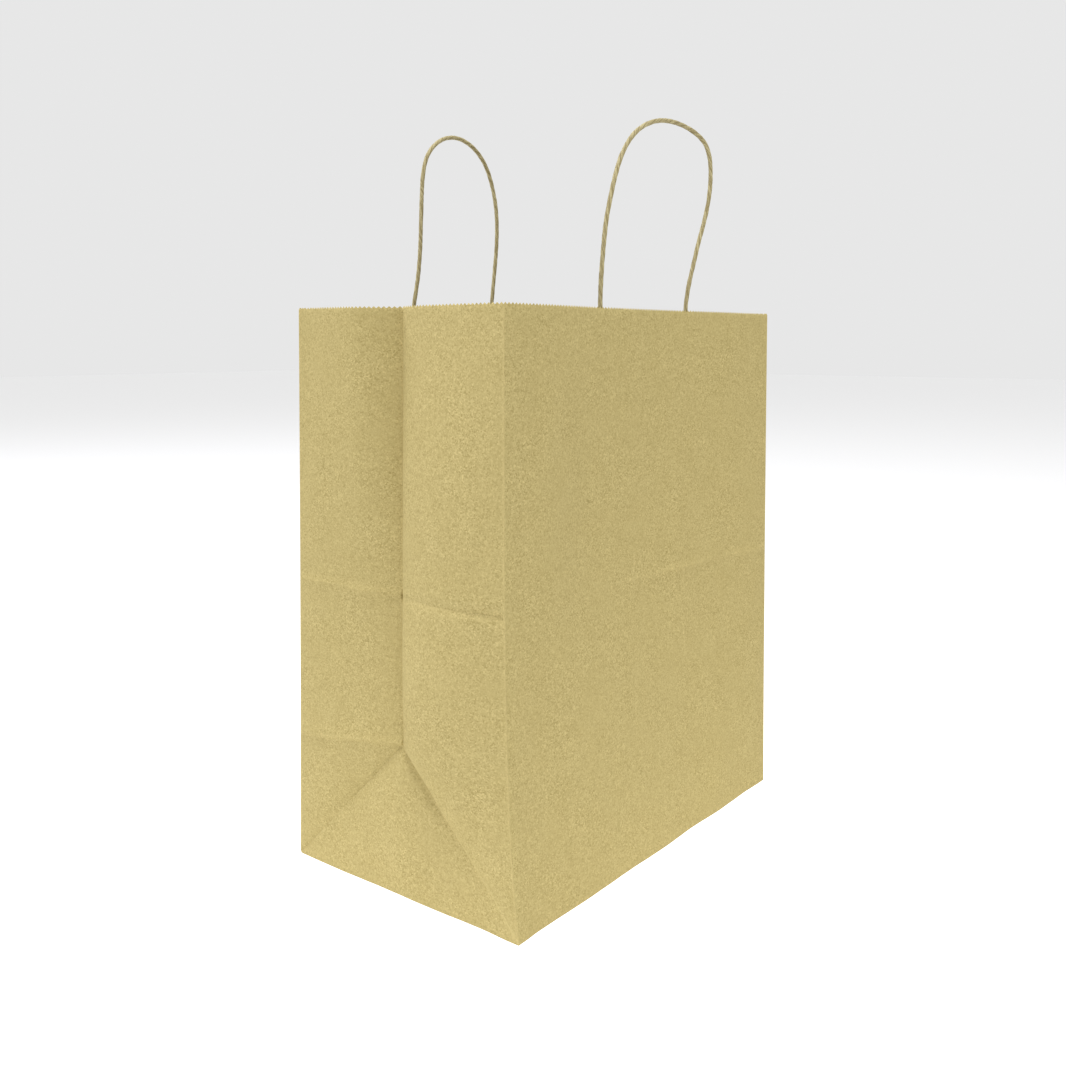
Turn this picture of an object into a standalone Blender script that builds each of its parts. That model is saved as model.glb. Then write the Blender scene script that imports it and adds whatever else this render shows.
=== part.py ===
"""A kraft paper carrier bag with two twisted paper handles, standing open on its base.

The bag is one sheet of kraft paper, folded into a tube with a gusset in each narrow side, lapped
and glued along one edge, and closed below by a satchel bottom of four folded flaps. Each handle is
a twisted paper cord whose two ends are glued between two paper strips, and each such patch is
glued inside a wide face, just below the mouth.

X runs along the wide faces, Y through the gussets, Z up. The origin is the middle of the base.
"""
import math

import bmesh
import bpy
from mathutils import Vector

MM = 0.001

# The folded bag
WIDTH = 260 * MM            # a wide face
DEPTH = 160 * MM            # a gusset, both halves, and the base from front to back
HEIGHT = 305 * MM           # base to the points of the cut mouth
PAPER = 0.16 * MM           # kraft paper of about 110 g/m2
TOOTH_PITCH = 2.6 * MM      # the mouth is cut with a serrated knife
TOOTH_DEPTH = 1.0 * MM
PACKING_FOLD = 160 * MM     # height of the crease that the folded-up base leaves in the walls
PACKING_RIDGE = 0.6 * MM    # how far that crease stands out, or in where it is a valley
PACKING_SPREAD = 7 * MM     # and how soon it dies away above and below

# Satchel bottom: the front flap lies outermost and laps over the back one
FRONT_FLAP_PAST_MIDDLE = 14 * MM
BACK_FLAP_PAST_MIDDLE = 10 * MM
END_FLAP = 92 * MM          # how far a gusset's end flap reaches in over the base
FLAP_INSET = 0.12 * MM      # the flaps' edges end inside the wall's own thickness
FOLD_CORNER = 0.6 * MM      # a mitre starts this far along the base edge from its corner

# Glued lap that closes the tube, on the back face beside its left upright edge
SEAM_START = 1.5 * MM
SEAM_WIDTH = 20 * MM
SEAM_FOOT = 1.0 * MM        # the lap ends this far above the base and below the tooth roots
SEAM_MARGIN = 0.5 * MM      # mesh columns of the back face stand this far clear of the lap
SEAM_THICKNESS = 0.24 * MM  # the lap and the glue line that sinks it half a sheet into the face

# How the opened bag stands: each upright edge leans in towards the mouth, in x and y, and does
# most of it over the third length
LEAN = {
    "front_left": (3.6 * MM, 10.6 * MM, 75 * MM),
    "front_right": (2.9 * MM, 7.8 * MM, 900 * MM),
    "back_right": (2.9 * MM, 9.0 * MM, 900 * MM),
    "back_left": (3.6 * MM, 10.9 * MM, 900 * MM),
}
SIDE = {"front_left": (-1, -1), "front_right": (1, -1), "back_right": (1, 1), "back_left": (-1, 1)}

# The gussets' middle fold: pushed in, and pushed towards the back
FOLD_IN_AT_APEX = 8.6 * MM
FOLD_IN_AT_MOUTH = 15.0 * MM
FOLD_BACK_AT_APEX = 5.4 * MM
FOLD_BACK_AT_MOUTH = 8.0 * MM

# The gussets' half panels bulge, and the back one rolls in steeply to the middle fold
FRONT_BULGE = 4 * MM
BACK_BULGE = 8 * MM
BACK_ROLL = 25 * MM

# The wide faces: the front is dished in its upper part, the back bows out a little
FRONT_DISH = 6 * MM
DISH_FROM = 60 * MM
DISH_FULL = 220 * MM
DISH_LEFT = 0.33
DISH_RIGHT = 0.5
BACK_BOW = 5 * MM

# Handles: the cord, and the strips that hold it
CORD = 2.4 * MM             # diameter
CORD_FOOT = 38 * MM         # how deep the cord's ends reach below the mouth
CORD_STEP = 7 * MM          # distance between the points that the cord is drawn through
PATCH_WIDTH = 150 * MM
PATCH_HEIGHT = 40 * MM
PATCH_DROP = 7 * MM         # from the mouth's points down to the patch
PATCH_PAPER = 0.16 * MM
GAP = 0.3 * MM              # between pieces that are glued face to face
RIB_HALF_WIDTH = 6 * MM     # the inner strip rises over a cord from this far to each side

# The cords' routes in the plane of the face: across from the middle, and up from the mouth
FRONT_ROUTE = (
    (-41.0, -8), (-41.0, 0), (-40.6, 12), (-39.4, 24), (-36.9, 41), (-33.2, 54), (-28.5, 66.5),
    (-22.8, 77), (-14.8, 86), (-4.0, 93), (8.5, 97.4), (21.5, 99.2), (34.5, 98.6), (46.5, 96),
    (55.5, 91.4), (60.2, 84), (61.4, 73), (59.8, 61), (55.8, 49), (51.2, 38), (47.0, 26),
    (43.0, 14.5), (40.8, 5), (40.2, -2), (40.0, -8),
)
BACK_ROUTE = (
    (-39.8, -8), (-38.6, 0), (-36.4, 9), (-33.6, 21), (-31.6, 35), (-30.4, 51), (-29.4, 66),
    (-28.0, 78), (-24.6, 88), (-18.0, 95.5), (-8.4, 100.8), (2.6, 102.6), (13.0, 100.6),
    (22.4, 95.6), (29.4, 88.4), (34.2, 79), (37.4, 68), (38.7, 56), (38.2, 42), (36.6, 29),
    (34.6, 15), (33.2, 4), (32.6, -8),
)

COLUMN = 10 * MM            # mesh columns of a gusset
WIDE_COLUMNS = 16           # mesh columns of a wide face
CORNER_COLUMN = 30 * MM     # least width of the back face's column next to the lap
ROWS_TO_PACKING_FOLD = 3
ROWS_TO_MOUTH = 5
PATCH_ROWS = 2
PATCH_SIDE_COLUMNS = 3
RIB_STEPS = 3               # mesh columns of half a rib
CURVE_STEPS = 12            # straight pieces between two of a route's points
BASE_HUB = (3 * MM, -7 * MM)    # the base's triangles meet here, off every fold's line
FAR_OUT = 5 * MM            # how far a cutter stands past what it cuts

KRAFT = (0.44, 0.33, 0.16, 1.0)
KRAFT_INSIDE = (0.46, 0.35, 0.18, 1.0)
TWISTED_KRAFT = (0.33, 0.27, 0.14, 1.0)
PAPER_ROUGHNESS, CORD_ROUGHNESS = 0.85, 0.8


def smooth(x):
    """Rises from 0 to 1 as 3x^2 - 2x^3, flat at both ends."""
    x = min(max(x, 0.0), 1.0)
    return x * x * (3 - 2 * x)


def mix(a, b, t):
    return a + (b - a) * t


def packing_crease(z, turn):
    """The crease across the walls is a small tent at its height. Its turn alternates between the
    layers of the flat bag: a mountain on the front face and the gussets' back halves, a valley
    on the gussets' front halves and the back face."""
    return turn * PACKING_RIDGE * max(0.0, 1 - abs(z - PACKING_FOLD) / PACKING_SPREAD)


def upright(name, z):
    """A point on an upright edge, which leans in by 1 - exp(-z / rise) of its full lean."""
    lean_x, lean_y, rise = LEAN[name]
    side_x, side_y = SIDE[name]
    share = (1 - math.exp(-z / rise)) / (1 - math.exp(-HEIGHT / rise))
    return Vector((side_x * (WIDTH / 2 - lean_x * z / HEIGHT),
                   side_y * (DEPTH / 2 - lean_y * share), z))


def apex_height():
    """The mitre's fold is half the depth long up the gusset, and leans in as it rises."""
    return math.sqrt((DEPTH / 2) ** 2 - FOLD_IN_AT_APEX ** 2)


def middle_fold(side_x, z):
    """A point on a gusset's middle fold: straight in to the apex, then on to the mouth."""
    top = apex_height()
    if z < top:
        push, back = FOLD_IN_AT_APEX * z / top, FOLD_BACK_AT_APEX * z / top
    else:
        up = (z - top) / (HEIGHT - top)
        push = mix(FOLD_IN_AT_APEX, FOLD_IN_AT_MOUTH, up)
        back = mix(FOLD_BACK_AT_APEX, FOLD_BACK_AT_MOUTH, up)
    edge = upright("front_left" if side_x < 0 else "front_right", z)
    return Vector((edge.x - side_x * push, back, z))


def section(edge, fold, u, outward, bulge, roll, reach):
    """A half gusset seen from above: a cubic Bezier curve from the upright edge to the fold,
    whose two inner control points stand out by the bulge and the roll."""
    near_edge = mix(edge, fold, 1 / 3) + outward * bulge
    near_fold = mix(edge, fold, reach) + outward * roll
    v = 1 - u
    return v ** 3 * edge + 3 * v * v * u * near_edge + 3 * v * u * u * near_fold + u ** 3 * fold


def half_gusset(name, u, z):
    """A half gusset, u from 0 at the upright edge to 1 at the middle fold. Below the apex a mitre
    fold runs from the base corner up to the apex: the paper beyond it is a flat triangle."""
    side_x, side_y = SIDE[name]
    outward = Vector((side_x, 0, 0))
    top = apex_height()
    bulge = BACK_BULGE if side_y > 0 else FRONT_BULGE
    if z >= top:
        up = (z - top) / (HEIGHT - top)
        roll = mix(bulge, BACK_ROLL, up) if side_y > 0 else bulge
        reach = mix(2 / 3, 1.0, up) if side_y > 0 else 2 / 3
        point = section(upright(name, z), middle_fold(side_x, z), u, outward, bulge, roll, reach)
        return point + outward * packing_crease(z, side_y)
    mitre = z / top
    corner = upright(name, 0)
    apex = middle_fold(side_x, top)
    if u > mitre:
        return corner + (middle_fold(side_x, 0) - corner) * (u - mitre) + (apex - corner) * mitre
    if mitre == 0:
        return corner
    on_mitre = mix(corner, apex, mitre)
    bulge *= mitre
    return section(upright(name, z), on_mitre, u / mitre, outward, bulge, bulge, 2 / 3)


def wide_face(left, right, u, z):
    """A wide face, u from one upright edge to the other. The front is dished by a smooth plateau
    that grows with height, the back bows out as a half sine."""
    point = mix(upright(left, z), upright(right, z), u)
    side_y = SIDE[left][1]
    if side_y < 0:
        plateau = smooth(u / DISH_LEFT) * smooth((1 - u) / DISH_RIGHT)
        out = -FRONT_DISH * plateau * smooth((z - DISH_FROM) / (DISH_FULL - DISH_FROM))
    else:
        out = BACK_BOW * math.sin(math.pi * u) * smooth(z / HEIGHT)
    point.y += side_y * (out + packing_crease(z, -side_y))
    return point


def face_y(side_y, x, z):
    """Where a wide face's outer side lies at x and z."""
    left, right = ("front_left", "front_right") if side_y < 0 else ("back_left", "back_right")
    left_x, right_x = upright(left, z).x, upright(right, z).x
    return wide_face(left, right, (x - left_x) / (right_x - left_x), z).y


def even(steps):
    return [i / steps for i in range(steps + 1)]


def panels():
    """The tube's six panels in order round it: each gives its points from (u, z), its column
    lines and how its quads are split, so that the mitre folds are edges."""
    half = even(max(2, round(DEPTH / 2 / COLUMN)))
    wide = even(WIDE_COLUMNS)
    seam = [0.0, (SEAM_START - SEAM_MARGIN) / WIDTH,
            (SEAM_START + SEAM_WIDTH + SEAM_MARGIN) / WIDTH]
    clear = 1 - seam[2] - CORNER_COLUMN / WIDTH
    back = sorted([1 - u for u in seam] + [u for u in wide if u < clear])
    return [
        (lambda u, z: wide_face("front_left", "front_right", u, z), wide, True),
        (lambda u, z: half_gusset("front_right", u, z), half, True),
        (lambda u, z: half_gusset("back_right", 1 - u, z), half, False),
        (lambda u, z: wide_face("back_left", "back_right", 1 - u, z), back, True),
        (lambda u, z: half_gusset("back_left", u, z), half, True),
        (lambda u, z: half_gusset("front_left", 1 - u, z), half, False),
    ]


def row_heights():
    """Row lines: even ones up to the apex, so that the mitres pass through them, then the
    packing fold and the foot of the mouth's teeth."""
    top = apex_height()
    rows = [top * t for t in even(max(2, round(DEPTH / 2 / COLUMN)))]
    low, high = PACKING_FOLD - PACKING_SPREAD, PACKING_FOLD + PACKING_SPREAD
    rows += [mix(top, low, t) for t in even(ROWS_TO_PACKING_FOLD)[1:]]
    rows += [PACKING_FOLD, high]
    return rows + [mix(high, HEIGHT - TOOTH_DEPTH, t) for t in even(ROWS_TO_MOUTH)[1:-1]]


def add_object(name, mesh, colour, roughness):
    material = bpy.data.materials.new(name + "_paper")
    material.use_nodes = True
    shader = material.node_tree.nodes["Principled BSDF"]
    shader.inputs["Base Color"].default_value = colour
    shader.inputs["Roughness"].default_value = roughness
    shader.inputs["Metallic"].default_value = 0.0
    material.diffuse_color = colour
    mesh.materials.append(material)
    obj = bpy.data.objects.new(name, mesh)
    bpy.context.scene.collection.objects.link(obj)
    return obj


def mesh_from(bm, name):
    mesh = bpy.data.meshes.new(name)
    bm.to_mesh(mesh)
    bm.free()
    return mesh


def solidify(obj, thickness):
    """Gives a sheet its thickness, on the side away from its normals."""
    wall = obj.modifiers.new("paper", "SOLIDIFY")
    wall.thickness = thickness
    wall.offset = -1
    wall.use_even_offset = True


def sheet_surface():
    """The bag's outer side as one open surface: the tube, its teeth and the base."""
    bm = bmesh.new()
    lines = [(panel, a, b, split) for panel, us, split in panels() for a, b in zip(us, us[1:])]
    rings = [[bm.verts.new(panel(a, z)) for panel, a, _, _ in lines] for z in row_heights()]
    count = len(lines)
    for below, above in zip(rings, rings[1:]):
        for i in range(count):
            j = (i + 1) % count
            if lines[i][3]:
                bm.faces.new((below[i], below[j], above[j]))
                bm.faces.new((below[i], above[j], above[i]))
            else:
                bm.faces.new((below[i], below[j], above[i]))
                bm.faces.new((below[j], above[j], above[i]))
    add_teeth(bm, lines, rings[-1])
    hub = bm.verts.new((*BASE_HUB, 0))
    for i in range(count):
        bm.faces.new((hub, rings[0][(i + 1) % count], rings[0][i]))
    return mesh_from(bm, "bag_body")


def add_teeth(bm, lines, last_ring):
    """Closes the last row with a fan of triangles up to the tooth roots, and sets a triangular
    tooth on each pitch."""
    root_z, count = HEIGHT - TOOTH_DEPTH, len(lines)
    roots = []
    for panel, a, b, _ in lines:
        teeth = max(1, round((panel(b, root_z) - panel(a, root_z)).length / TOOTH_PITCH))
        roots.append([bm.verts.new(panel(mix(a, b, t), root_z)) for t in even(teeth)[:-1]])
    for i, (panel, a, b, _) in enumerate(lines):
        j = (i + 1) % count
        row = roots[i] + [roots[j][0]]
        teeth = len(row) - 1
        for k in range(teeth):
            tip = bm.verts.new(panel(mix(a, b, (k + 0.5) / teeth), HEIGHT))
            bm.faces.new((row[k], row[k + 1], tip))
            below = last_ring[i] if k < teeth / 2 else last_ring[j]
            bm.faces.new((below, row[k + 1], row[k]))
        bm.faces.new((last_ring[i], last_ring[j], row[math.ceil(teeth / 2)]))


def hide(obj):
    obj.hide_render = True
    obj.display_type = "WIRE"


def prism(name, outline, low, high):
    """An upright prism over a plan outline, used to add a glued flap or to cut a step."""
    bm = bmesh.new()
    base = bm.faces.new([bm.verts.new((x, y, low)) for x, y in outline])
    grown = bmesh.ops.extrude_face_region(bm, geom=[base])["geom"]
    top = [v for v in grown if isinstance(v, bmesh.types.BMVert)]
    bmesh.ops.translate(bm, verts=top, vec=(0, 0, high - low))
    bmesh.ops.recalc_face_normals(bm, faces=bm.faces)
    obj = add_object(name, mesh_from(bm, name), KRAFT, PAPER_ROUGHNESS)
    hide(obj)
    return obj


def combine(obj, other, operation):
    step = obj.modifiers.new(other.name, "BOOLEAN")
    step.operation = operation
    step.solver = "EXACT"
    step.object = other


def rectangle(low_x, high_x, low_y, high_y):
    return ((low_x, low_y), (high_x, low_y), (high_x, high_y), (low_x, high_y))


def add_flaps(bag):
    """The satchel bottom's layers, lowest first: front flap, back flap, end flaps. What the outer
    flaps don't cover is cut back from below, in mitred steps one sheet high each."""
    half_x, half_y = WIDTH / 2 - FLAP_INSET, DEPTH / 2 - FLAP_INSET
    inner = WIDTH / 2 - END_FLAP
    embed = PAPER / 2
    ends = (rectangle(-half_x, -inner, -half_y, half_y), rectangle(inner, half_x, -half_y, half_y))
    for i, outline in enumerate(ends):
        combine(bag, prism(f"end_flap_{i}", outline, embed, 3 * PAPER), "UNION")
    back = rectangle(-inner - FAR_OUT, inner + FAR_OUT, -BACK_FLAP_PAST_MIDDLE, half_y)
    combine(bag, prism("back_flap", back, embed, 2 * PAPER), "UNION")

    past, tip_x = FRONT_FLAP_PAST_MIDDLE, WIDTH / 2 - DEPTH / 2
    wide, deep = WIDTH / 2 + FAR_OUT, DEPTH / 2 + FAR_OUT
    step = [(-wide, -FAR_OUT), (-tip_x - 2 * FAR_OUT, -FAR_OUT), (-tip_x, 0),
            (-tip_x + past, past), (tip_x - past, past), (tip_x, 0),
            (tip_x + 2 * FAR_OUT, -FAR_OUT), (wide, -FAR_OUT), (wide, deep), (-wide, deep)]
    combine(bag, prism("back_step", step, -FAR_OUT, PAPER), "DIFFERENCE")
    for i, side in enumerate((-1, 1)):
        reach = deep - FOLD_CORNER
        mitre = [(side * wide, -reach), (side * wide, reach), (side * (tip_x + FOLD_CORNER), 0)]
        combine(bag, prism(f"end_step_{i}", mitre, -FAR_OUT, 2 * PAPER), "DIFFERENCE")


def add_seam(bag):
    """The lap is a second sheet thickness over a strip of the back face."""
    bm = bmesh.new()
    low, high = SEAM_START / WIDTH, (SEAM_START + SEAM_WIDTH) / WIDTH
    heights = [SEAM_FOOT] + row_heights()[1:] + [HEIGHT - TOOTH_DEPTH - SEAM_FOOT]
    out = Vector((0, PAPER, 0))
    rows = [[bm.verts.new(wide_face("back_left", "back_right", u, z) + out) for u in (high, low)]
            for z in heights]
    for below, above in zip(rows, rows[1:]):
        bm.faces.new((below[0], below[1], above[1]))
        bm.faces.new((below[0], above[1], above[0]))
    lap = add_object("seam_lap", mesh_from(bm, "seam_lap"), KRAFT, PAPER_ROUGHNESS)
    solidify(lap, SEAM_THICKNESS)
    hide(lap)
    combine(bag, lap, "UNION")


def make_bag():
    bag = add_object("bag_body", sheet_surface(), KRAFT, PAPER_ROUGHNESS)
    solidify(bag, PAPER)
    add_seam(bag)
    add_flaps(bag)


def cord_route(route):
    """The whole route in metres: a straight foot at each end, along the route's own end, down to
    the cord's depth below the mouth."""
    points = [Vector((x * MM, 0, HEIGHT + up * MM)) for x, up in route]
    ends = []
    for first, second in ((points[0], points[1]), (points[-1], points[-2])):
        slope = (first.x - second.x) / (first.z - second.z)
        foot = HEIGHT - CORD_FOOT
        half = (first.z + foot) / 2
        ends.append([Vector((first.x + slope * (z - first.z), 0, z)) for z in (foot, half)])
    return ends[0] + points + ends[1][::-1]


def along(points, step):
    """Points a step apart on the Catmull-Rom curve through the given ones."""
    padded = [2 * points[0] - points[1]] + points + [2 * points[-1] - points[-2]]
    fine = []
    for a, b, c, d in zip(padded, padded[1:], padded[2:], padded[3:]):
        for t in even(CURVE_STEPS)[:-1]:
            fine.append(0.5 * (2 * b + (c - a) * t + (2 * a - 5 * b + 4 * c - d) * t * t
                               + (3 * b - a - 3 * c + d) * t ** 3))
    fine.append(points[-1])
    lengths = [0.0]
    for a, b in zip(fine, fine[1:]):
        lengths.append(lengths[-1] + (b - a).length)
    count = max(2, round(lengths[-1] / step))
    result, k = [], 0
    for i in range(count + 1):
        goal = lengths[-1] * i / count
        while k < len(fine) - 2 and lengths[k + 1] < goal:
            k += 1
        result.append(mix(fine[k], fine[k + 1], (goal - lengths[k]) / (lengths[k + 1] - lengths[k])))
    return result


def cord_depth():
    """From a wide face's outer side in to the cord's middle."""
    return PAPER + GAP + PATCH_PAPER + GAP + CORD / 2


def make_cord(name, side_y, route):
    """The cord follows its face below the mouth and stands straight up from it above."""
    curve = bpy.data.curves.new(name, "CURVE")
    curve.dimensions = "3D"
    curve.bevel_depth = CORD / 2
    curve.bevel_resolution = 2
    curve.use_fill_caps = True
    points = along(cord_route(route), CORD_STEP)
    spline = curve.splines.new("POLY")
    spline.points.add(len(points) - 1)
    for target, point in zip(spline.points, points):
        y = face_y(side_y, point.x, min(point.z, HEIGHT)) - side_y * cord_depth()
        target.co = (point.x, y, point.z, 1)
    add_object(name, curve, TWISTED_KRAFT, CORD_ROUGHNESS)


def leg_x(points, z):
    """Where a cord's foot stands at height z, on the straight line of its end points."""
    low, high = points
    return mix(low.x, high.x, (z - low.z) / (high.z - low.z))


def rib(distance):
    """The inner strip's rise over a cord: a raised cosine across the cord, clear of its top."""
    if abs(distance) >= RIB_HALF_WIDTH:
        return 0.0
    return (CORD + GAP) * (1 + math.cos(math.pi * distance / RIB_HALF_WIDTH)) / 2


def patch_lines(legs, z):
    """Column lines of a patch at height z: its edges, the strip between, and the ribs' columns,
    which follow the cord's legs."""
    xs = []
    last = -PATCH_WIDTH / 2
    for leg in sorted(leg_x(points, z) for points in legs):
        start = leg - RIB_HALF_WIDTH
        xs += [mix(last, start, t) for t in even(PATCH_SIDE_COLUMNS)[:-1]]
        xs += [leg + RIB_HALF_WIDTH * i / RIB_STEPS for i in range(-RIB_STEPS, RIB_STEPS)]
        last = leg + RIB_HALF_WIDTH
    return xs + [mix(last, PATCH_WIDTH / 2, t) for t in even(PATCH_SIDE_COLUMNS)]


def make_patch(name, side_y, route, inner):
    """A strip of the patch: it follows the face, and the inner one rises over both cord feet."""
    full = cord_route(route)
    legs = (full[:2], full[-1:-3:-1])
    top = HEIGHT - PATCH_DROP
    depth = PAPER + GAP + (PATCH_PAPER + GAP if inner else 0)
    bm = bmesh.new()
    rows = []
    for z in (mix(top - PATCH_HEIGHT, top, t) for t in even(PATCH_ROWS)):
        row = []
        for x in patch_lines(legs, z):
            rise = max(rib(x - leg_x(points, z)) for points in legs) if inner else 0.0
            row.append(bm.verts.new((x, face_y(side_y, x, z) - side_y * (depth + rise), z)))
        rows.append(row)
    for below, above in zip(rows, rows[1:]):
        for i in range(len(below) - 1):
            bm.faces.new((below[i], below[i + 1], above[i + 1], above[i]))
    if side_y > 0:
        bmesh.ops.reverse_faces(bm, faces=bm.faces)
    bmesh.ops.triangulate(bm, faces=bm.faces)
    patch = add_object(name, mesh_from(bm, name), KRAFT_INSIDE, PAPER_ROUGHNESS)
    solidify(patch, PATCH_PAPER)


def main():
    for obj in list(bpy.data.objects):
        bpy.data.objects.remove(obj)
    make_bag()
    for side, side_y, route in (("front", -1, FRONT_ROUTE), ("back", 1, BACK_ROUTE)):
        make_cord("handle_cord_" + side, side_y, route)
        make_patch("patch_outer_" + side, side_y, route, inner=False)
        make_patch("patch_inner_" + side, side_y, route, inner=True)


main()
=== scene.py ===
"""Kraft paper carrier bag with twisted paper handles: visible pieces, light, floor and camera."""

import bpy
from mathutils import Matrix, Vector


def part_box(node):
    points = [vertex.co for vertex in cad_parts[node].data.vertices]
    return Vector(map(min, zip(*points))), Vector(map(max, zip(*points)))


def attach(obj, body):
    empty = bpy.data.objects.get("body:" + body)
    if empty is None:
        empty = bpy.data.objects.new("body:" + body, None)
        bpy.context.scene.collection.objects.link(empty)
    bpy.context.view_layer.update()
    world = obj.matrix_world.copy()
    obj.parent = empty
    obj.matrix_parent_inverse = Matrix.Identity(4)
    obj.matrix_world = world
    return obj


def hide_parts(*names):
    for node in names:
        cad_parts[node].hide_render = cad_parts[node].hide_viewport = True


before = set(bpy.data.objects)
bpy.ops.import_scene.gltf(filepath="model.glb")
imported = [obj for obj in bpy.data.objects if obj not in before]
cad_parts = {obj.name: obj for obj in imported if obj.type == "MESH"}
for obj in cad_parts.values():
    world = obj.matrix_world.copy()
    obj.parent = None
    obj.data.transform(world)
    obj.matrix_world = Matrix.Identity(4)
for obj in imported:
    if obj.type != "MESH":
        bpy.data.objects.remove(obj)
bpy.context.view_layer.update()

import math

import bpy
import numpy as np

MM = 0.001

# ---------------------------------------------------------------- sizes, as the frame has them
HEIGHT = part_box("bag_body")[1].z
WIDTH = 260 * MM
DEPTH = 160 * MM
PAPER = 0.16 * MM
TOOTH_PITCH = 2.6 * MM
TOOTH_DEPTH = 1.0 * MM
PACKING_FOLD = 160 * MM
FRONT_FLAP_PAST_MIDDLE = 14 * MM
BACK_FLAP_PAST_MIDDLE = 10 * MM
END_FLAP = 92 * MM
SHARP_FOLD = 18             # degrees
SEAM_WIDTH = 21.5 * MM      # from the back left edge to the glued lap's free edge
FLOOR_LEVEL = -0.1 * MM     # just clear of the base

# how far each upright edge leans in across and along, and how soon it leans in along
LEAN = {
    "front_left": (3.6 * MM, 10.6 * MM, 75 * MM),
    "front_right": (2.9 * MM, 7.8 * MM, 900 * MM),
    "back_right": (2.9 * MM, 9.0 * MM, 900 * MM),
    "back_left": (3.6 * MM, 10.9 * MM, 900 * MM),
}

# which way each upright edge lies from the middle, across and along
SIDE = {"front_left": (-1, -1), "front_right": (1, -1), "back_right": (1, 1), "back_left": (-1, 1)}

# a gusset's middle fold: how far it lies inside the front edge, and behind the middle
FOLD_IN_AT_APEX, FOLD_IN_AT_MOUTH = 8.6 * MM, 15.0 * MM
FOLD_BACK_AT_APEX, FOLD_BACK_AT_MOUTH = 5.4 * MM, 8.0 * MM
APEX = math.sqrt((DEPTH / 2) ** 2 - FOLD_IN_AT_APEX ** 2)

# how far the half gussets stand out: front left, front right, both back ones
FRONT_BULGE, FAR_BULGE, BACK_BULGE = 12.5 * MM, 7 * MM, 3 * MM
ROLL_LOW, ROLL_HIGH = 115 * MM, 265 * MM    # between these heights the back halves start to roll
ROLL_WIDTH = 0.35           # share of a back half gusset that rolls in to the middle fold
FRONT_DISH, DISH_FULL = 9.0 * MM, 170 * MM
BACK_BOW = 5 * MM

CORD = 2.4 * MM
CORD_FOOT = 38 * MM
GAP = 0.3 * MM
PATCH_PAPER = 0.16 * MM
PATCH_WIDTH, PATCH_HEIGHT, PATCH_DROP = 150 * MM, 40 * MM, 7 * MM
RIB_HALF_WIDTH = 6 * MM
TWIST_PITCH = 19 * MM
CORD_DEPTH = PAPER + GAP + PATCH_PAPER + GAP + CORD / 2

# the cords' routes above the mouth, across and up, in millimetres
FRONT_ROUTE = (
    (-41.0, -8), (-41.0, 0), (-40.6, 12), (-39.4, 24), (-36.9, 41), (-33.2, 54), (-28.5, 66.5),
    (-22.8, 77), (-14.8, 86), (-4.0, 93), (8.5, 97.4), (21.5, 99.2), (34.5, 98.6), (46.5, 96),
    (55.5, 91.4), (60.2, 84), (61.4, 73), (59.8, 61), (55.8, 49), (51.2, 38), (47.0, 26),
    (43.0, 14.5), (40.8, 5), (40.2, -2), (40.0, -8),
)
BACK_ROUTE = (
    (-39.8, -8), (-38.6, 0), (-36.4, 9), (-33.6, 21), (-31.6, 35), (-30.4, 51), (-29.4, 66),
    (-28.0, 78), (-24.6, 88), (-18.0, 95.5), (-8.4, 100.8), (2.6, 102.6), (13.0, 100.6),
    (22.4, 95.6), (29.4, 88.4), (34.2, 79), (37.4, 68), (38.7, 56), (38.2, 42), (36.6, 29),
    (34.6, 15), (33.2, 4), (32.6, -8),
)


# ---------------------------------------------------------------- small array tools
def smooth(x):
    """Rises from 0 to 1 as 3x^2 - 2x^3, flat at both ends."""
    x = np.clip(x, 0.0, 1.0)
    return x * x * (3 - 2 * x)


def mix(a, b, t):
    """Straight from a at t = 0 to b at t = 1."""
    return a + (b - a) * t


def bell(x, width):
    """A raised cosine, 1 at x = 0 and 0 from the width on, with flat ends."""
    return np.where(np.abs(x) < width, (1 + np.cos(np.pi * x / width)) / 2, 0.0)


def tent(x, width):
    """A ridge with a sharp top: 1 - |x| / width, squared, so that its feet run out softly."""
    return np.clip(1 - np.abs(x) / width, 0, 1) ** 2


def waves(s, z, lengths_s, lengths_z, count, seed):
    """Gentle unevenness: a sum of plane sine waves whose lengths across and up are drawn from the
    two ranges, all equally strong and divided by the root of their number, so that the sum lies
    mostly within -1 to 1."""
    rng = np.random.default_rng(seed)
    total = np.zeros(np.broadcast(s, z).shape)
    for k in range(count):
        across = rng.choice([-1, 1]) / rng.uniform(*lengths_s)
        up = rng.choice([-1, 1]) / rng.uniform(*lengths_z)
        phase = rng.uniform(0, 2 * np.pi)
        total += np.sin(2 * np.pi * (across * s + up * z) + phase) / math.sqrt(count)
    return total


def mesh_object(name, points, faces, material, uv=None, crease=None, sharp=None):
    """Puts a form into a mesh: points as an array (n, 3), faces as lists of point numbers, uv per
    corner in face order and crease per point, a mask that the materials paint with: pale fold
    lines and edges on the paper, wear and painted highlight together, and painted shade in a
    cord's grooves. Edges that turn by more than the angle sharp, in degrees, are shaded as folds."""
    mesh = bpy.data.meshes.new(name)
    mesh.from_pydata(points.tolist(), [], faces)
    mesh.polygons.foreach_set("use_smooth", np.ones(len(mesh.polygons), bool))
    if uv is not None:
        layer = mesh.uv_layers.new(name="sheet")
        layer.data.foreach_set("uv", np.asarray(uv, np.float32).ravel())
    if crease is not None:
        mark = mesh.attributes.new("crease", "FLOAT", "POINT")
        mark.data.foreach_set("value", np.asarray(crease, np.float32).ravel())
    mesh.materials.append(material)
    mesh.update()
    if sharp:
        mesh.set_sharp_from_angle(angle=math.radians(sharp))
    obj = bpy.data.objects.new(name, mesh)
    bpy.context.scene.collection.objects.link(obj)
    return obj


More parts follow.
